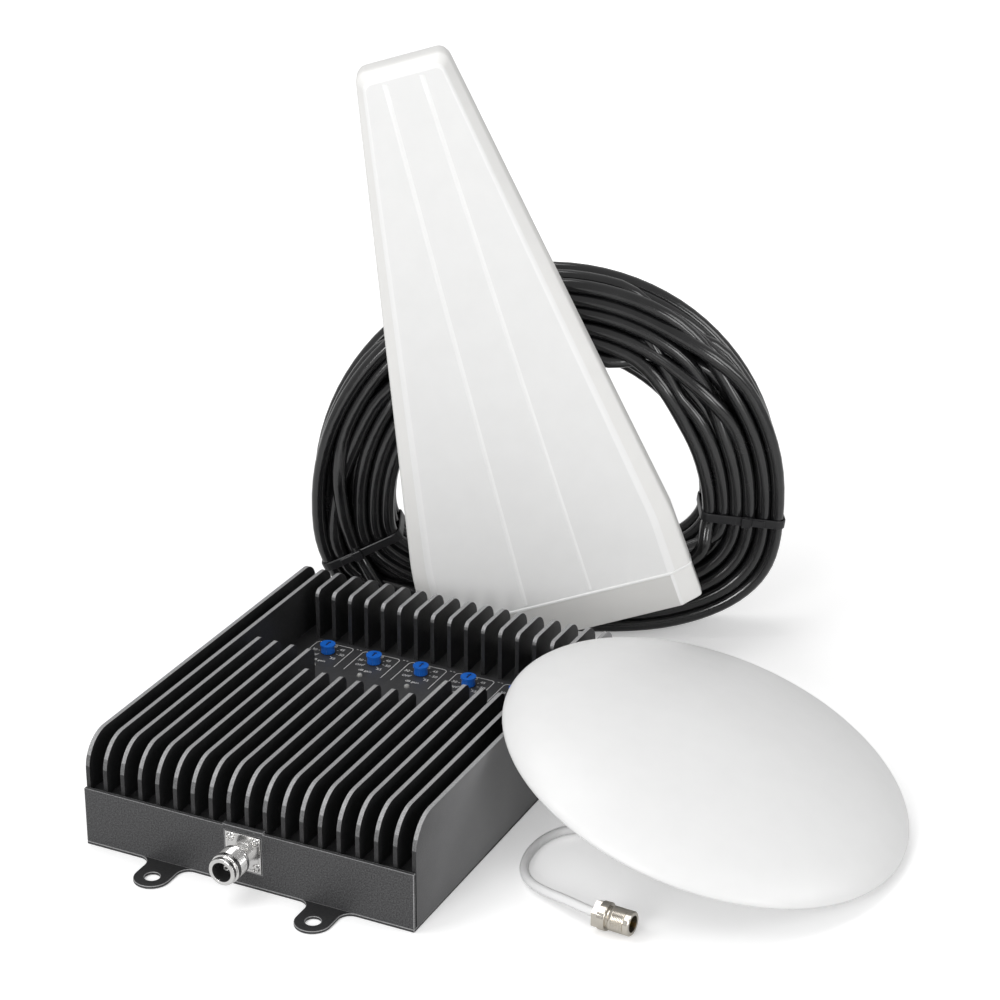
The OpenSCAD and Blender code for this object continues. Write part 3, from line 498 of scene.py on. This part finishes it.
def smooth_route(points, per=6):
    """Catmull-Rom curve through given points."""
    p = [Vector(q) for q in points]
    p = [p[0] * 2 - p[1]] + p + [p[-1] * 2 - p[-2]]
    res = []
    for i in range(1, len(p) - 2):
        for j in range(per):
            t = j / per
            res.append(0.5 * ((2 * p[i]) + (p[i + 1] - p[i - 1]) * t
                              + (2 * p[i - 1] - 5 * p[i] + 4 * p[i + 1] - p[i + 2]) * t * t
                              + (3 * p[i] - p[i - 1] - 3 * p[i + 1] + p[i + 2]) * t ** 3))
    return res + [p[-2]]


LEAD_D = 0.006
lead_route = smooth_route([tuple(c * MM for c in q) for q in lead_mm])
lead = cord_curve("dome_lead", lead_route, LEAD_D, WHITE_LEAD, None, 4)
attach(lead, "dome_antenna")
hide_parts("pigtail_cable")

# ------------------------------------------------------------------ amplifier
FIN_FOOT = 0.041
housing = nodes["housing"]
paint(housing, BLACK, EDGE_HIGHLIGHT, WALL_PAINTED_LIGHT, DIM_EDGE_HIGHLIGHT)
wall_x = max(abs(p.center.x) for p in housing.data.polygons)
for p in housing.data.polygons:
    # The fins' narrow faces get painted highlight: the flatter ones the bright coat, the steeper ones the dim
    if abs(p.normal.x) < 0.3 and p.normal.z > 0.06 and p.center.z > FIN_FOOT:
        p.material_index = 1 if p.normal.z > 0.42 else 3
    # The outer side walls take the lighter coat, painted light
    elif abs(p.normal.x) > 0.9 and abs(p.center.x) > wall_x - 0.001:
        p.material_index = 2
# Its rounded edges take the dim coat, a painted highlight
soften("housing", 0.0005, 2, 40, highlight_slot=3)
# The plates' rounded edges take the bright coat, a painted highlight
for n, coat in (("front_plate", PLATE), ("rear_plate", PLATE), ("base_plate", BLACK)):
    paint(nodes[n], coat, EDGE_HIGHLIGHT)
    soften(n, 0.0004, 2, 40, highlight_slot=1)
paint(nodes["control_label"], LABEL)
paint(nodes["circuit_board"], BOARD)
paint(nodes["rf_shields"], TIN)
paint(nodes["board_standoffs"], NICKEL)
paint(nodes["gain_controls"], MOULD)
paint(nodes["power_jack"], MOULD)
paint(nodes["status_leds"], LENS)
paint(nodes["case_screws"], SCREW)
for k in range(1, 6):
    paint(nodes[f"knob_{k}"], BLUE)
    soften(f"knob_{k}", 0.00018, 2, 40)
# The front and pigtail ports' insulators are the near-black painted shade
for where, metal, core in (("front_port", NICKEL, SHADED_CORE), ("rear_port", NICKEL, PTFE),
                           ("antenna_port", NICKEL, PTFE), ("pigtail_port", NICKEL_WARM, SHADED_CORE)):
    paint(nodes[where + "_shell"], metal)
    paint(nodes[where + "_insulator"], core)
    paint(nodes[where + "_contact"], GOLD)
    soften(where + "_shell", 0.00018, 2, 30)
# The front port's bore is painted near black inside, as painted shade
PORT_X, PORT_Z, PORT_BORE = -0.0014, 0.0249, 0.0067
paint(nodes["front_port_contact"], NICKEL)
front_shell = nodes["front_port_shell"].data
front_shell.materials.append(BORE_SHADE.m)
for p in front_shell.polygons:
    if math.hypot(p.center.x - PORT_X, p.center.z - PORT_Z) < PORT_BORE:
        p.material_index = 1
for n in ("front_port_screws", "rear_port_screws"):
    paint(nodes[n], NICKEL)
    soften(n, 0.00015, 2, 40)

# ------------------------------------------------------------------ rest of the CAD nodes
for n in ("antenna_screws", "dome_washer", "dome_screws"):
    paint(nodes[n], NICKEL)
for n in ("plug_a_nut", "plug_b_nut", "plug_a_shell", "plug_b_shell"):
    paint(nodes[n], NICKEL)
    soften(n, 0.0002, 2, 35)
for n in ("antenna_front_boom", "antenna_rear_boom", "dome_ground_plane"):
    paint(nodes[n], ALU)
paint(nodes["antenna_boom_spacers"], PTFE)
paint(nodes["antenna_feed_cable"], JACKET)
paint(nodes["dome_stud"], NYLON)
paint(nodes["dome_nut"], NYLON)
paint(nodes["dome_gasket"], FOAM)
paint(nodes["dome_radiator"], COPPER)
paint(nodes["dome_base"], DOME_MAT)
paint(nodes["plug_insulators"], PTFE)
paint(nodes["plug_pins"], GOLD)
paint(nodes["antenna_back_cover"], RADOME)

# ------------------------------------------------------------------ printed dials
DECK = 0.0384         # top of the panel film
DIAL_Y = 0.088        # row of the knobs
PITCH = 0.0367        # between knobs
KNOB_TOP = 0.0452
LINE = 0.00045        # printed line
BOX_W, BOX_TOP, BOX_FOOT, BOX_R = 0.0145, 0.0125, -0.0175, 0.003
TICK = (0.0064, 0.0076)


def ribbon(bm, pts, width, z, height=0.00006):
    """Flat printed line through 2-D points."""
    lower, upper = [], []
    for i, p in enumerate(pts):
        a, b = pts[max(i - 1, 0)], pts[min(i + 1, len(pts) - 1)]
        d = Vector((b[0] - a[0], b[1] - a[1])).normalized()
        nrm = Vector((-d.y, d.x)) * width / 2
        for side in (1, -1):
            lower.append(bm.verts.new((p[0] + nrm.x * side, p[1] + nrm.y * side, z)))
            upper.append(bm.verts.new((p[0] + nrm.x * side, p[1] + nrm.y * side, z + height)))
    for i in range(len(pts) - 1):
        k = 2 * i
        bm.faces.new((upper[k], upper[k + 1], upper[k + 3], upper[k + 2]))
        bm.faces.new((lower[k], lower[k + 2], lower[k + 3], lower[k + 1]))
        bm.faces.new((upper[k], upper[k + 2], lower[k + 2], lower[k]))
        bm.faces.new((upper[k + 1], lower[k + 1], lower[k + 3], upper[k + 3]))
    e = 2 * (len(pts) - 1)
    bm.faces.new((upper[0], lower[0], lower[1], upper[1]))
    bm.faces.new((upper[e], upper[e + 1], lower[e + 1], lower[e]))


def add_text(bm, text, x, y, z, size):
    """Printed figures, centred on a point."""
    cu = bpy.data.curves.new("number", "FONT")
    cu.body = text
    cu.size = size
    cu.align_x = "CENTER"
    cu.align_y = "CENTER"
    cu.extrude = 0.00003
    ob = bpy.data.objects.new("number", cu)
    scene.collection.objects.link(ob)
    bpy.context.view_layer.update()
    me = bpy.data.meshes.new_from_object(ob)
    me.transform(Matrix.Translation((x, y, z + 0.00003)))
    bm.from_mesh(me)
    bpy.data.objects.remove(ob)
    bpy.data.curves.remove(cu)
    bpy.data.meshes.remove(me)


bm = bmesh.new()
for k in range(5):
    cx = (k - 2) * PITCH
    # Open box round the knob, with rounded shoulders
    pts = [(cx - BOX_W, DIAL_Y + BOX_FOOT)]
    for side, start in ((-1, 180), (1, 90)):
        for i in range(7):
            t = rad(start - 15 * i)
            x = cx + side * (BOX_W - BOX_R) + BOX_R * math.cos(t)
            pts.append((x, DIAL_Y + BOX_TOP - BOX_R + BOX_R * math.sin(t)))
    pts.append((cx + BOX_W, DIAL_Y + BOX_FOOT))
    ribbon(bm, pts, LINE, DECK)
    # Ticks and figures
    for i in range(7):
        t = rad(225 - 45 * i)
        c, s = math.cos(t), math.sin(t)
        ribbon(bm, [(cx + r * c, DIAL_Y + r * s) for r in TICK], LINE, DECK)
        mark, reach, size = (str(25 + 5 * i), 0.0107, 0.0040) if i else ("OFF", 0.0112, 0.0036)
        add_text(bm, mark, cx + reach * c, DIAL_Y + 0.0099 * s, DECK, size)
    add_text(bm, "dB gain", cx, DIAL_Y - 0.0132, DECK, 0.0036)
    # Dashes to the next box
    if k < 4:
        for j in range(2):
            x = cx + 0.0163 + 0.0026 * j
            ribbon(bm, [(x, DIAL_Y + BOX_TOP), (x + 0.0014, DIAL_Y + BOX_TOP)], LINE, DECK)
mesh_object("dial_print", bm, PRINT, "amplifier", smooth=False)

# Dark pointer let into each knob's top
for k in range(1, 6):
    cx = (k - 3) * PITCH
    bm = bmesh.new()
    shape = [(-0.00062, -0.0025), (0.00062, -0.0025), (0.00062, 0.00165), (0.0018, 0.00165), (0.0, 0.0040),
             (-0.0018, 0.00165), (-0.00062, 0.00165)]
    low = [bm.verts.new((cx + x, DIAL_Y + y, KNOB_TOP - 0.00085)) for x, y in shape]
    high = [bm.verts.new((cx + x, DIAL_Y + y, KNOB_TOP - 0.0004)) for x, y in shape]
    bm.faces.new(high)
    bm.faces.new(list(reversed(low)))
    for i in range(7):
        bm.faces.new((low[i], low[(i + 1) % 7], high[(i + 1) % 7], high[i]))
    mesh_object(f"knob_pointer_{k}", bm, MARK, f"gain_knob_{k}", smooth=False)

# ------------------------------------------------------------------ dome
DOME_WALL = 0.0028
DOME_POWER = 1.2
SEG = 144


def dome_curve(radius, height, steps):
    """Profile of a dome from its rim to its top."""
    res = []
    for i in range(steps):
        a = rad(90 * i / steps)
        res.append((radius * math.cos(a) ** DOME_POWER, DOME_LIP + height * math.sin(a) ** DOME_POWER))
    return res + [(0.0, DOME_LIP + height)]


outer = dome_curve(DOME_R, DOME_H - DOME_LIP, 48)
lip = ((0.0022, 0.0), (0.0012, 0.0001), (0.0005, 0.0005), (0.0001, 0.0012))
rim = [(DOME_R - in_by, z) for in_by, z in lip]
inner = [(DOME_R - DOME_WALL, 0.0006)] + dome_curve(DOME_R - DOME_WALL, DOME_H - DOME_LIP - DOME_WALL, 32)
bm = bmesh.new()
rings = []
for r, z in list(reversed(inner)) + rim + outer:
    turns = [2 * math.pi * j / SEG for j in range(SEG)] if r > 1e-6 else [0.0]
    rings.append([bm.verts.new(DOME @ Vector((r * math.cos(t), r * math.sin(t), z))) for t in turns])
for a, b in zip(rings, rings[1:]):
    for j in range(SEG):
        j2 = (j + 1) % SEG
        if len(a) == 1:
            bm.faces.new((a[0], b[j], b[j2]))
        elif len(b) == 1:
            bm.faces.new((a[j], b[0], a[j2]))
        else:
            bm.faces.new((a[j], b[j], b[j2], a[j2]))
dome = mesh_object("dome_cover", bm, DOME_MAT, "dome_antenna")
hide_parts("dome_shell")

# ------------------------------------------------------------------ radome
# In millimetres, as ANT_MM below turns them into metres; KNEE is where the taper starts
ANT_W, ANT_TIP, ANT_L, ANT_T, BACK_T, KNEE, CAP_H = 202.4, 63.0, 435.0, 26.0, 2.4, 72.0, 28.0
KNEE_IN, BEVEL_T, BEVEL_FOOT, BEVEL_TIP, TIP_R = 5.0, 9.0, 15, 6, 7
MID = ANT_W / 2


def ant_half(z):
    """Half width at height z."""
    if z < KNEE:
        return ANT_W / 2 - KNEE_IN * z / KNEE
    return (ANT_W / 2 - KNEE_IN) + (ANT_TIP / 2 - ANT_W / 2 + KNEE_IN) * (z - KNEE) / (ANT_L - KNEE)


def bevel_w(z):
    """Width of the sloping side at height z."""
    return BEVEL_FOOT + (BEVEL_TIP - BEVEL_FOOT) * (z - CAP_H) / (ANT_L - CAP_H)


def knee_half(z):
    """Half width with the knee eased over a short length."""
    return sum(ant_half(z + d) for d in (-8, -4, 0, 4, 8)) / 5 if abs(z - KNEE) < 14 else ant_half(z)


heights = [CAP_H, CAP_H + 0.3, 44, 56, 62, 66, 70, 74, 78, 82, 90, 130, 190, 260, 330, 400]


def ant_ring(f, bottom):
    """Outline moved in by the share f of the bevel."""
    top = ANT_L - TIP_R * f
    r = TIP_R - 2.5 * f
    side = [(knee_half(max(z, bottom)) - f * bevel_w(z), max(z, bottom)) for z in heights]
    h = ant_half(top) - f * bevel_w(top)
    slope = (ANT_W / 2 - KNEE_IN - ANT_TIP / 2) / (ANT_L - KNEE)
    arc = []
    for i in range(9):
        t = rad(90 * i / 8)
        z = top - r * (1 - math.sin(t))
        arc.append((h + slope * (top - z) * 0.9 - r * (1 - math.cos(t)), z))
    side += arc
    return [(MID + x, z) for x, z in side] + [(MID - x, z) for x, z in reversed(side)]


def rounded_profile():
    """(share of the bevel, depth) from the back edge round to the front face."""
    b = BEVEL_T
    res = [(0.0, ANT_T - BACK_T), (0.0, b + 4.0)]
    for i in range(1, 9):
        t = i / 8
        res.append((0.16 * t * t, (b + 4.0) * (1 - t) ** 2 + 2 * b * t * (1 - t) + b * 0.84 * t * t))
    res.append((0.5, b / 2))
    for i in range(9):
        t = i / 8
        f0, y0, f1, y1 = 0.80, b * 0.2, 1.16, 0.0
        res.append((f0 * (1 - t) ** 2 + 2 * t * (1 - t) + f1 * t * t, y0 * (1 - t) ** 2 + y1 * t * t))
    return res


def loft(bm, rings, matrix, close=True):
    """Skin over a row of rings of points."""
    vs = [[bm.verts.new(matrix @ Vector(p)) for p in ring] for ring in rings]
    n = len(rings[0])
    for a, b in zip(vs, vs[1:]):
        for j in range(n if close else n - 1):
            bm.faces.new((a[j], a[(j + 1) % n], b[(j + 1) % n], b[j]))
    return vs


bm = bmesh.new()
ANT_MM = ANT @ Matrix.Scale(MM, 4)
profile = rounded_profile()
rings = [[(x, y, z) for x, z in ant_ring(f, CAP_H)] for f, y in profile]
vs = loft(bm, rings, ANT_MM)
bm.faces.new(vs[-1])
inner_profile = ((0.14, ANT_T - BACK_T), (0.14, BEVEL_T + 1.8), (1.0, 2.6))
iv = loft(bm, [[(x, y, z) for x, z in ant_ring(f, CAP_H)] for f, y in inner_profile], ANT_MM)
bm.faces.new(iv[-1])
n = len(iv[0])
for j in range(n):
    bm.faces.new((vs[0][j], vs[0][(j + 1) % n], iv[0][(j + 1) % n], iv[0][j]))
radome = mesh_object("radome_shell", bm, RADOME, "panel_antenna")
radome.data.materials.append(CREASE_HIGHLIGHT.m)
radome.data.materials.append(SLOPE_PAINTED_LIGHT.m)
# Painted light on the slope, a touch off the face; painted highlight on the rounding between them
mid_slope = next(i for i, (f, y) in enumerate(profile) if f == 0.5)
for i, p in enumerate(radome.data.polygons):
    if i < (len(profile) - 1) * n:
        p.material_index = 1 if i // n > mid_slope else 2
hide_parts("antenna_radome")
add_mod(radome, "WEIGHTED_NORMAL", "normals", keep_sharp=False, weight=60)

# End cap: the radome's section carried on to the foot, with a proud lip where the two meet
bm = bmesh.new()
sections = []
# (share of the bevel, depth), as in rounded_profile but crisper
cap_profile = [(0.0, ANT_T - BACK_T), (0.0, 13.0), (0.0, 11.0), (0.02, 10.0), (0.06, 9.2), (0.14, 8.1),
               (0.3, 6.5), (0.6, 3.8), (0.86, 1.4), (0.93, 0.6), (0.97, 0.2), (1.01, 0.0), (1.08, 0.0)]
# (height, how far it stands proud)
cap_steps = ((0.0, -1.2), (0.3, -0.5), (1.0, 0.0), (CAP_H - 2.2, 0.0), (CAP_H - 1.9, 0.35),
             (CAP_H - 1.4, 0.6), (CAP_H - 0.5, 0.6), (CAP_H, 0.35), (CAP_H + 0.2, -0.8))
for z, grow in cap_steps:
    edge = [(ant_half(z) - f * bevel_w(CAP_H) + grow * (1 - 0.4 * f), y - grow * min(1, 0.5 + f / 2), z)
            for f, y in cap_profile]
    edge[0] = (edge[0][0], ANT_T - BACK_T, z)
    sections.append([(MID + x, y, z) for x, y, z in edge] + [(MID - x, y, z) for x, y, z in reversed(edge)])
ends = loft(bm, sections, ANT_MM)
bm.faces.new(ends[0])
bm.faces.new(ends[-1])
cap = mesh_object("foot_cap", bm, CAP, "panel_antenna")
cap.data.materials.append(SLOPE_PAINTED_LIGHT.m)
cap.data.materials.append(CREASE_HIGHLIGHT.m)
# Painted highlight on the lip and the rounding, painted light on the slope
for p in cap.data.polygons:
    q = ANT_MM.inverted() @ p.center
    share = (ant_half(q.z) - abs(q.x - MID)) / bevel_w(CAP_H)
    if q.z > CAP_H - 2 or 0.92 < share < 1.05:
        p.material_index = 2
    elif share < 0.92:
        p.material_index = 1
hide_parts("antenna_end_cap")
add_mod(cap, "WEIGHTED_NORMAL", "normals", keep_sharp=False, weight=60)

# Two raised creases down the front, in the brighter plastic as a painted highlight
CREASE_HALF, CREASE_RISE, CREASE_FOOT = 2.2, 0.40, 0.06
bm = bmesh.new()
for top_x, foot_x in ((-13.0, -22.5), (12.5, 25.0)):
    sections = []
    z0, z1 = CAP_H + 1.5, ANT_L - 10
    # The first step is short, so that the shading of the open end stays at the end
    for t in [0, 0.001] + [i / 19 for i in range(1, 20)]:
        z = z0 + (z1 - z0) * t
        x = MID + foot_x + (top_x - foot_x) * t
        across = [i / 5 for i in range(-5, 6)]
        sections.append([(x + w * CREASE_HALF, CREASE_FOOT - CREASE_RISE * math.cos(w * math.pi / 2) ** 2, z)
                         for w in across])
    sv = loft(bm, sections, ANT_MM, close=False)
    lows = [[bm.verts.new(ANT_MM @ Vector((p[0], 0.4, p[2]))) for p in (row[0], row[-1])] for row in sections]
    for i in range(20):
        bm.faces.new((sv[i][0], sv[i + 1][0], lows[i + 1][0], lows[i][0]))
        bm.faces.new((sv[i][-1], lows[i][1], lows[i + 1][1], sv[i + 1][-1]))
        bm.faces.new((lows[i][0], lows[i + 1][0], lows[i + 1][1], lows[i][1]))
    for i in (0, 20):
        bm.faces.new(sv[i] + [lows[i][1], lows[i][0]])
mesh_object("radome_creases", bm, CREASE_HIGHLIGHT, "panel_antenna")

# ------------------------------------------------------------------ floor and light
bm = bmesh.new()
bmesh.ops.create_grid(bm, x_segments=2, y_segments=2, size=4.0)
me = bpy.data.meshes.new("floor")
bm.to_mesh(me)
bm.free()
floor = bpy.data.objects.new("floor", me)
scene.collection.objects.link(floor)
FLOOR = Mat("floor_paper", (0.90, 0.90, 0.90), 0.9, spec=0.1)


def camera_only(nt, seen, other):
    """Shader that the camera sees as one thing and every other ray as another."""
    path = nt.nodes.new("ShaderNodeLightPath")
    mix = nt.nodes.new("ShaderNodeMixShader")
    nt.links.new(path.outputs["Is Camera Ray"], mix.inputs[0])
    nt.links.new(other, mix.inputs[1])
    nt.links.new(seen, mix.inputs[2])
    return mix.outputs[0]


far = FLOOR.node("ShaderNodeVectorMath", operation="LENGTH")
FLOOR.nt.links.new(FLOOR.coord.outputs["Object"], far.inputs[0])
glow = FLOOR.node("ShaderNodeEmission", Color=(1, 1, 1, 1))
FLOOR.nt.links.new(FLOOR.spread(far.outputs["Value"], 0.30, 0.74, 0.45, 1.1), glow.inputs["Strength"])
lit = FLOOR.node("ShaderNodeAddShader")
FLOOR.nt.links.new(FLOOR.b.outputs[0], lit.inputs[0])
FLOOR.nt.links.new(glow.outputs[0], lit.inputs[1])
dim = FLOOR.node("ShaderNodeBsdfDiffuse", Color=(0.72, 0.72, 0.72, 1))
paper = camera_only(FLOOR.nt, lit.outputs[0], dim.outputs[0])
FLOOR.nt.links.new(paper, FLOOR.nt.nodes["Material Output"].inputs[0])
me.materials.append(FLOOR.m)
floor.location.z = -0.0002
floor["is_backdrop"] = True

world = bpy.data.worlds.new("world")
scene.world = world
world.use_nodes = True
wt = world.node_tree
wt.nodes["Background"].inputs["Color"].default_value = (1, 1, 1, 1)
wt.nodes["Background"].inputs["Strength"].default_value = 0.42
white = wt.nodes.new("ShaderNodeBackground")
white.inputs["Color"].default_value = (1, 1, 1, 1)
white.inputs["Strength"].default_value = 1.05
sky = camera_only(wt, white.outputs[0], wt.nodes["Background"].outputs[0])
wt.links.new(sky, wt.nodes["World Output"].inputs[0])


def softbox(name, place, aim, size, power, size_y=None):
    """Square area light looking at a point."""
    li = bpy.data.lights.new(name, "AREA")
    li.shape = "RECTANGLE"
    li.size = size
    li.size_y = size_y or size
    li.energy = power
    ob = bpy.data.objects.new(name, li)
    scene.collection.objects.link(ob)
    ob.location = place
    ob.rotation_euler = (Vector(aim) - Vector(place)).to_track_quat("-Z", "Y").to_euler()


softbox("top", (-0.5, 0.3, 1.9), (0.05, 0.05, 0.1), 1.3, 10, 1.0)
softbox("front", (0.0, -2.3, 0.9), (0.1, 0.1, 0.2), 0.9, 28)
softbox("right", (1.9, 0.3, 0.9), (0.1, 0, 0.1), 0.9, 8)
softbox("low right", (1.3, -0.55, 0.26), (0.12, -0.1, 0.03), 0.4, 2.6)
softbox("sheen", (-0.75, -0.85, 1.55), (0.0, -0.1, 0.08), 0.8, 7)
scene.view_settings.view_transform = "Standard"

# ------------------------------------------------------------------ done
bpy.context.view_layer.update()
low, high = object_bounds()
